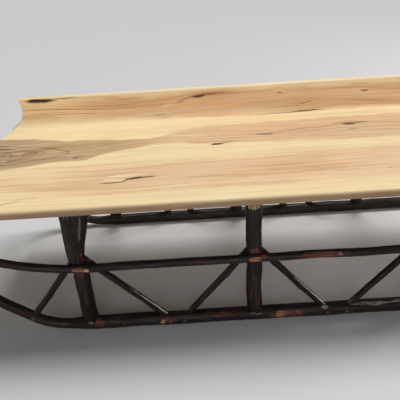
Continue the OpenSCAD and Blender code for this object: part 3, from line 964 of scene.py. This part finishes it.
hickoryLook = {
    "cloudTint": (0.93, 0.88, 0.8),  # tints multiply the wood's own colour
    "lateTint": (0.82, 0.72, 0.62),
    "lineTint": (0.72, 0.6, 0.48),
    "poreTint": (0.62, 0.5, 0.38),
    "early": (0.86, 0.7, 0.46),
    "fleck": (0.84, 0.66, 0.44),
    "endPale": (0.5, 0.34, 0.17),
    "endDark": (0.34, 0.2, 0.095),
    "endPore": (0.2, 0.11, 0.05),
    "markPush": (0.024, 0.01, 0),  # metres
    "dipFrom": 0.5,  # marks deeper than this are rougher too
    "roughness": 0.52,
    "shine": 0.18,
    "varnish": 0.03,
    "varnishRoughness": 0.35,
    "grainDepth": 0.0005,  # metres
}


# Knots, splits and curls, with wavering edges
def paintMarks(colour, flat, look):
    push = addNode("TexNoise", {"Vector": stretched(flat, (30, 70, 30)), "Scale": 1.0, "Detail": 4.0})
    push = vectorMaths("SUBTRACT", push.outputs["Color"], (0.5, 0.5, 0.5))
    spot = vectorMaths("ADD", flat, vectorMaths("MULTIPLY", push, look["markPush"]))
    dips = None
    for place, (long, wide), lean, shade, strength, depth in marks:
        inputs = {"Vector": spot, "Location": (place[0] / 1000, place[1] / 1000, 0)}
        inputs["Rotation"] = (0, 0, math.radians(lean))
        inputs["Scale"] = (long / 1000, wide / 1000, 1)
        local = addNode("Mapping", inputs, vector_type="TEXTURE").outputs[0]
        mask = spread(distanceOut(local), 1.15, 0.6, 0, strength)
        colour = blendColour(mask, colour, shade)
        if depth > look["dipFrom"]:
            dips = mask if dips is None else maths("MAXIMUM", dips, mask)
    return colour, dips


def makeHickory(look):
    material, tree, shader = newMaterial("varnishedHickory")
    grain = attribute(tree, "grainCo", "Vector")
    flat = attribute(tree, "flatCo", "Vector")
    heart = attribute(tree, "heart", "Fac")
    broad = noise(stretched(grain, (2.2, 70, 30)), 1, 5, 0.6, 0.2)
    lines = noise(stretched(grain, (3.5, 300, 60)), 1, 4, 0.6, 0.15)
    pores = noise(stretched(grain, (22, 1500, 300)), 1, 3, 0.6)
    cloud = noise(stretched(flat, (5, 16, 10)), 1, 4, 0.55)
    flame = noise(stretched(flat, (26, 60, 30)), 1, 5, 0.65, 0.5)
    colour = attribute(tree, "woodColour", "Color")
    colour = tinted(times(spread(cloud, 0.3, 0.7), 0.5), colour, look["cloudTint"])
    weight = spread(heart, 0, 1, 0.42, 1.0)
    late = times(spread(broad, 0.47, 0.66), weight)
    colour = tinted(times(late, 0.85), colour, look["lateTint"])
    early = times(spread(broad, 0.46, 0.3), weight)
    colour = blendColour(times(early, 0.5), colour, look["early"])
    thin = times(spread(lines, 0.52, 0.72), weight)
    colour = tinted(times(thin, 0.85), colour, look["lineTint"])
    colour = tinted(times(spread(pores, 0.6, 0.75), 0.35), colour, look["poreTint"])
    flecks = times(spread(flame, 0.55, 0.75), times(heart, 0.28))
    colour = blendColour(flecks, colour, look["fleck"])
    colour, dips = paintMarks(colour, flat, look)
    # Sawn ends
    ringPlace = attribute(tree, "ringCo", "Vector")
    wobble = plus(distanceOut(ringPlace), times(cloud, 0.012))
    rings = maths("SINE", times(wobble, 1900.0))
    dots = noise(stretched(ringPlace, (900, 900, 900)), 1, 2)
    ends = blendColour(spread(rings, -0.5, 1), look["endPale"], look["endDark"])
    ends = blendColour(spread(dots, 0.55, 0.7), ends, look["endPore"])
    colour = blendColour(attribute(tree, "endGrain", "Fac"), colour, ends)
    rough = spread(lines, 0.3, 0.75, look["roughness"] - 0.07, look["roughness"] + 0.15, False)
    rough = plus(rough, times(dips, 0.2))
    height = plus(times(lines, 0.6), times(pores, 0.5))
    height = maths("SUBTRACT", height, times(dips, 1.2))
    finishSurface(shader, colour, rough, bump(height, 0.22, look["grainDepth"]), coat=look["varnish"],
                  coatRoughness=look["varnishRoughness"], shine=look["shine"])
    return material


hickory = makeHickory(hickoryLook)

top = {
    "seat": 457,
    "under": 430,
    "edgeRound": 8,
    "chamfer": 4,
    "nearSplit": (9, 8),  # above the underside, the start of the upper outline and of the lower one
    "nearStart": -14.6,  # so that the pattern's measure and y agree on the seat
    "endBow": 30,
    "cove": 40,
    "lipFront": 660,
    "lipRound": 8,
    "lipEase": 2,
    "lipSplit": (60, 62),  # below the lip's top, the end of the upper outline and of the lower one
    "scoop": 80,
    "scoopHeight": 532,
    "arris": 2.5,
    "seamArris": 0.35,
    "gap": 0.05,
    "pitchLong": 5,
    "pitchWide": 2.3,
    "layers": 6,
    "ringHeight": 330,
    "grainShift": 37,
}
nearEdge = lowHigh("near_board")[0][1]
seams = [lowHigh(node)[1][1] for node in ("near_board", "middle_board", "far_board")]
farEdge, lipTop = lowHigh("back_lip")[1][1], lowHigh("back_lip")[1][2]
noseEnd, tailEnd = lowHigh("middle_board")[0][0], lowHigh("middle_board")[1][0]
middleY = (nearEdge + farEdge) / 2
halfWide = (farEdge - nearEdge) / 2
bow = (halfWide ** 2 + top["endBow"] ** 2) / (2 * top["endBow"])


def endDepth(y, z, lip):
    depth = bow - np.sqrt(bow ** 2 - (y - middleY) ** 2)
    if lip:
        corner = bow - math.sqrt(bow ** 2 - (seams[2] - middleY) ** 2)
        back = math.sqrt(top["scoop"] ** 2 - (top["scoopHeight"] - top["seat"]) ** 2)
        rise = np.sqrt(np.maximum(top["scoop"] ** 2 - (z - top["scoopHeight"]) ** 2, 0))
        depth = np.maximum(depth, np.where(z > top["seat"] - 0.01, corner - back + rise, 0))
    return depth


def turnPoints(centreY, centreZ, radius, first, last, count):
    turns = np.radians(np.linspace(first, last, count))
    return [(centreY + radius * math.cos(turn), centreZ + radius * math.sin(turn)) for turn in turns]


def evenly(points, count):
    return along(points, np.linspace(0, measured(points)[-1], count))


# A board's section, round from its upper outline to its lower one, and the points on each
def boardLoop(upper, lower):
    upper = np.array(upper, float)
    lower = np.array(lower, float)
    count = max(12, int(measured(upper)[-1] / top["pitchWide"]))
    inner = evenly(upper, count)
    outer = evenly(lower, count)
    mix = np.arange(1, top["layers"])[:, None] / top["layers"]
    farSide = inner[-1] + (outer[-1] - inner[-1]) * mix
    nearSide = outer[0] + (inner[0] - outer[0]) * mix
    return np.concatenate([inner, farSide, outer[::-1], nearSide]), count


# The rows of a board along the top: where each stands, and how far its rim is set in
def boardRows(nose, tail):
    arris = top["arris"]
    turns = np.radians((90, 60, 30, 0))
    rim = [(arris * (1 - math.sin(turn)), arris * (1 - math.cos(turn))) for turn in turns]
    count = int((tailEnd - noseEnd) / top["pitchLong"])
    rows = [(nose + back, inset) for back, inset in rim]
    rows += [(nose + arris + (tail - nose - 2 * arris) * share, 0) for share in np.arange(1, count) / count]
    rows += [(tail - back, inset) for back, inset in reversed(rim)]
    return np.stack([place for place, inset in rows]), np.array([inset for place, inset in rows])


# The corner numbers of an end face: its rim, and new points inside from the given number
def endGrid(start, count, layers, inside):
    grid = np.zeros((count, layers + 1), int)
    grid[:, 0] = start + np.arange(count)
    grid[:, layers] = start + (count + layers - 1 + np.arange(count))[::-1]
    grid[-1, 1:layers] = start + count + np.arange(layers - 1)
    grid[0, 1:layers] = start + (2 * count + layers - 1 + np.arange(layers - 1))[::-1]
    grid[1:-1, 1:layers] = inside + np.arange((count - 2) * (layers - 1)).reshape(count - 2, layers - 1)
    return grid


def makeBoard(node, upper, lower, startAt, openEnd, lip=False):
    name = node + "_plank"
    loop, count = boardLoop(upper, lower)
    size = len(loop)
    layers = top["layers"]
    ahead = np.roll(loop, -1, 0)
    steps = np.linalg.norm(ahead - loop, axis=1)
    unrolled = startAt + np.concatenate([[0], np.cumsum(steps)[:-1]])
    if openEnd == "far":  # the pattern breaks at the far seam, and runs round the near edge
        unrolled = np.where(np.arange(size) >= count, unrolled - steps.sum(), unrolled)
    direction = ahead - np.roll(loop, 1, 0)
    direction /= np.linalg.norm(direction, axis=1)[:, None]
    inward = np.stack([direction[:, 1], -direction[:, 0]], 1)
    area = (loop[:, 0] * ahead[:, 1] - ahead[:, 0] * loop[:, 1]).sum()
    if area > 0:
        inward = -inward
    depth = endDepth(loop[:, 0], loop[:, 1], lip)
    x, inset = boardRows(noseEnd + depth, tailEnd - depth)
    rows = len(x)
    across = np.repeat(unrolled[None], rows, 0)
    colour, heart, grain, hollow = woodFields(x, across)
    section = loop[None] + inset[:, None, None] * inward[None] + hollow[..., None] * inward[None]
    points = [np.concatenate([x[..., None], section], -1).reshape(-1, 3)]
    fields = [[across.ravel(), grain.ravel(), heart.ravel(), colour.reshape(-1, 3), np.zeros(x.size)]]
    faces = tubeQuads(rows, size)[:, [0, 3, 2, 1]]
    if area > 0:
        faces = faces[:, ::-1]
    faces = faces.tolist()
    total = rows * size
    for row, end, way in ((0, noseEnd, 1), (rows - 1, tailEnd, -1)):
        upperRim = section[row, 1:count - 1]
        lowerRim = section[row, count + layers - 1:2 * count + layers - 1][::-1][1:-1]
        inside = np.zeros((count - 2, layers - 1, 3))
        for layer in range(1, layers):
            rib = upperRim + (lowerRim - upperRim) * layer / layers
            inside[:, layer - 1, 0] = end + way * endDepth(rib[:, 0], rib[:, 1], lip)
            inside[:, layer - 1, 1:] = rib
        inside = inside.reshape(-1, 3)
        grid = endGrid(row * size, count, layers, total)
        total += len(inside)
        points.append(inside)
        place = np.repeat(unrolled[1:count - 1], layers - 1)
        endColour, endHeart, endLines, _ = woodFields(inside[:, 0], place)
        fields.append([place, endLines, endHeart, endColour, np.ones(len(inside))])
        quads = np.stack([grid[:-1, :-1], grid[1:, :-1], grid[1:, 1:], grid[:-1, 1:]], -1).reshape(-1, 4)
        if (way > 0) == (area > 0):
            quads = quads[:, ::-1]
        faces += quads.tolist()
    points = np.concatenate(points)
    across, grain, heart, colour, cut = (np.concatenate(parts) for parts in zip(*fields))
    zero = np.zeros(len(across))
    ringY = points[:, 1] - loop[:, 0].mean()
    ringZ = points[:, 2] - top["ringHeight"]
    grainZ = zero + top["grainShift"] * len(name)
    values = {
        "grainCo": ("FLOAT_VECTOR", np.stack([points[:, 0], grain, grainZ], 1) / 1000),
        "flatCo": ("FLOAT_VECTOR", np.stack([points[:, 0], across, zero], 1) / 1000),
        "ringCo": ("FLOAT_VECTOR", np.stack([zero, ringY, ringZ], 1) / 1000),
        "heart": ("FLOAT", heart),
        "endGrain": ("FLOAT", cut),
        "woodColour": ("FLOAT_COLOR", np.concatenate([colour, np.ones((len(across), 1))], 1)),
    }
    slotName = "hickory_lip" if lip else "hickory_top"
    return makePiece(name, points, faces, values, hickory, slotName, node)


def seamTop(y, way):
    y = y - way * top["gap"]
    return [(y, top["seat"] - top["seamArris"]), (y - way * top["seamArris"], top["seat"])]


seat, under = top["seat"], top["under"]
gap, ease = top["gap"], top["lipEase"]
edgeRound, chamfer = top["edgeRound"], top["chamfer"]
edge = turnPoints(nearEdge + edgeRound, seat - edgeRound, edgeRound, 180, 90, 8)
upper = [(nearEdge, under + top["nearSplit"][0]), *edge, *seamTop(seams[0], 1)[::-1]]
lower = [(nearEdge, under + top["nearSplit"][1]), (nearEdge, under + chamfer), (nearEdge + chamfer, under),
         (seams[0] - gap, under)]
makeBoard("near_board", upper, lower, nearEdge + top["nearStart"], "far")
for low, high, node in ((seams[0], seams[1], "middle_board"), (seams[1], seams[2], "far_board")):
    upper = [*seamTop(low, -1), *seamTop(high, 1)[::-1]]
    makeBoard(node, upper, [(low + gap, under), (high - gap, under)], low, "near")
lipRound = top["lipRound"]
cove = turnPoints(seams[2], seat + top["cove"], top["cove"], -90, 0, 18)
front = turnPoints(top["lipFront"] + lipRound, lipTop - lipRound, lipRound, 180, 90, 7)
back = turnPoints(farEdge - lipRound, lipTop - lipRound, lipRound, 90, 0, 7)
upper = [seamTop(seams[2], -1)[0], *cove, *front, *back, (farEdge, lipTop - top["lipSplit"][0])]
lower = [(seams[2] + gap, under), (farEdge - ease, under), (farEdge, under + ease),
         (farEdge, lipTop - top["lipSplit"][1])]
makeBoard("back_lip", upper, lower, seams[2], "near", lip=True)
print("top made")


# Small parts that stay as the frame has them
def givePlain(nodes, material):
    for node in nodes:
        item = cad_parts[node]
        item.data.materials.clear()
        item.data.materials.append(material)


pegLook = {
    "dark": (0.085, 0.04, 0.022),
    "light": (0.21, 0.125, 0.065),
    "streak": (0.1, 0.045, 0.025),
    "lacquer": 0.4,
    "lacquerRoughness": 0.25,
}


def makePeg(look):
    material, tree, shader = newMaterial("pegWood")
    place = addNode("TexCoord", {}, tree).outputs["Object"]
    fine = noise(stretched(place, (900, 160, 900)), 1, 4)
    soft = noise(place, 60.0, 3)
    colour = blendColour(spread(soft, 0.35, 0.65), look["dark"], look["light"])
    colour = blendColour(spread(fine, 0.5, 0.7), colour, look["streak"])
    rough = spread(fine, 0.3, 0.7, 0.4, 0.6)
    finishSurface(shader, colour, rough, bump(fine, 0.4, 0.0004), coat=look["lacquer"],
                  coatRoughness=look["lacquerRoughness"])
    return material


steelLook = {"bright": (0.5, 0.49, 0.46), "dull": (0.28, 0.25, 0.22), "metal": 0.9}


def makeSteel(look):
    material, tree, shader = newMaterial("zincSteel")
    place = addNode("TexCoord", {}, tree).outputs["Object"]
    cloudy = noise(place, 320.0, 4)
    colour = blendColour(spread(cloudy, 0.35, 0.7), look["bright"], look["dull"])
    rough = spread(cloudy, 0.3, 0.7, 0.28, 0.5)
    finishSurface(shader, colour, rough, bump(cloudy, 0.2, 0.0002), metal=look["metal"])
    return material


sides = ("near", "far")
pegNodes = ["near_seam_dowels", "far_seam_dowels", "lip_seam_dowels"]
pegNodes += [side + node for side in sides for node in ("_runner_pegs", "_rail_plugs")]
steelNodes = [side + node for side in sides for node in ("_brace_nails", "_rail_screws")]
steelNodes += [row + "_bolster_screws" for row in legRows]
givePlain(pegNodes, makePeg(pegLook))
givePlain(steelNodes, makeSteel(steelLook))
print("small parts finished")

studio = {
    "floorSize": 60,  # metres
    "floorDrop": 0.0005,
    "floorShade": (0.596, 0.6, 0.605),
    "sun": 2.55,
    "sunTint": (1.0, 0.99, 0.975),
    "sunSpread": 26,
    "sunTurn": 7,  # towards the tail
    "sunTilt": 18.5,  # from straight above, towards the far side
    "fill": 1.25,
    "fillTint": (0.98, 0.99, 1.0),
    "fillSpread": 40,
    "fillHeight": 15,  # degrees above the floor, on the camera's side
    "sky": 0.13,
    "backdrop": 0.615,
    "windowPower": 45,
    "windowPlace": (4600, 1900, 2100),  # mm
    "windowSize": (1.4, 1.4),  # metres
}


def makeFloor(look):
    half = look["floorSize"] / 2
    mesh = bpy.data.meshes.new("floor")
    corners = [(-half, -half, 0), (half, -half, 0), (half, half, 0), (-half, half, 0)]
    mesh.from_pydata(corners, [], [(0, 1, 2, 3)])
    material, tree, shader = newMaterial("floorPaint")
    grain = noise(addNode("TexCoord", {}, tree).outputs["Object"], 40.0, 3)
    darker = tuple(channel * 0.99 for channel in look["floorShade"])
    lighter = tuple(channel * 1.01 for channel in look["floorShade"])
    finishSurface(shader, blendColour(grain, darker, lighter), 0.9, shine=0.1)
    mesh.materials.append(material)
    floor = addObject("floor", mesh)
    floor.location.z = -look["floorDrop"]
    return floor


def makeSun(name, look, lean, turn):
    light = bpy.data.lights.new(name, "SUN")
    light.energy = look[name]
    light.angle = math.radians(look[name + "Spread"])
    light.color = look[name + "Tint"]
    lamp = addObject(name, light)
    lamp.rotation_euler = (math.radians(lean), math.radians(turn), 0)
    return lamp


def makeStudio(look):
    floor = makeFloor(look)
    # The lip throws no shadow of the sun on the seat
    lipFree = bpy.data.collections.new("lipFree")
    lipFree.objects.link(bpy.data.objects["back_lip_plank"])
    lipFree.collection_objects[0].light_linking.link_state = "EXCLUDE"
    sun = makeSun("sun", look, -look["sunTilt"], look["sunTurn"])
    sun.light_linking.blocker_collection = lipFree
    makeSun("fill", look, 90 - look["fillHeight"], 0)
    window = bpy.data.lights.new("window", "AREA")
    window.shape = "RECTANGLE"
    window.size, window.size_y = look["windowSize"]
    window.energy = look["windowPower"]
    pane = addObject("window", window)
    pane.location = toFrame(look["windowPlace"])
    aim = pane.location - floor.location
    pane.rotation_euler = aim.to_track_quat("Z", "Y").to_euler()
    world = bpy.data.worlds.new("studio")
    bpy.context.scene.world = world
    world.use_nodes = True
    tree = world.node_tree
    glow = tree.nodes["Background"]
    # The camera sees a plain backdrop, and everything else a dim sky
    seen = addNode("LightPath", {}, tree).outputs["Is Camera Ray"]
    glow.inputs["Color"].default_value = (1, 1, 1, 1)
    feed(glow.inputs["Strength"], spread(seen, 0, 1, look["sky"], look["backdrop"], False))
    bpy.context.scene.view_settings.view_transform = "Standard"


makeStudio(studio)
print("studio made")
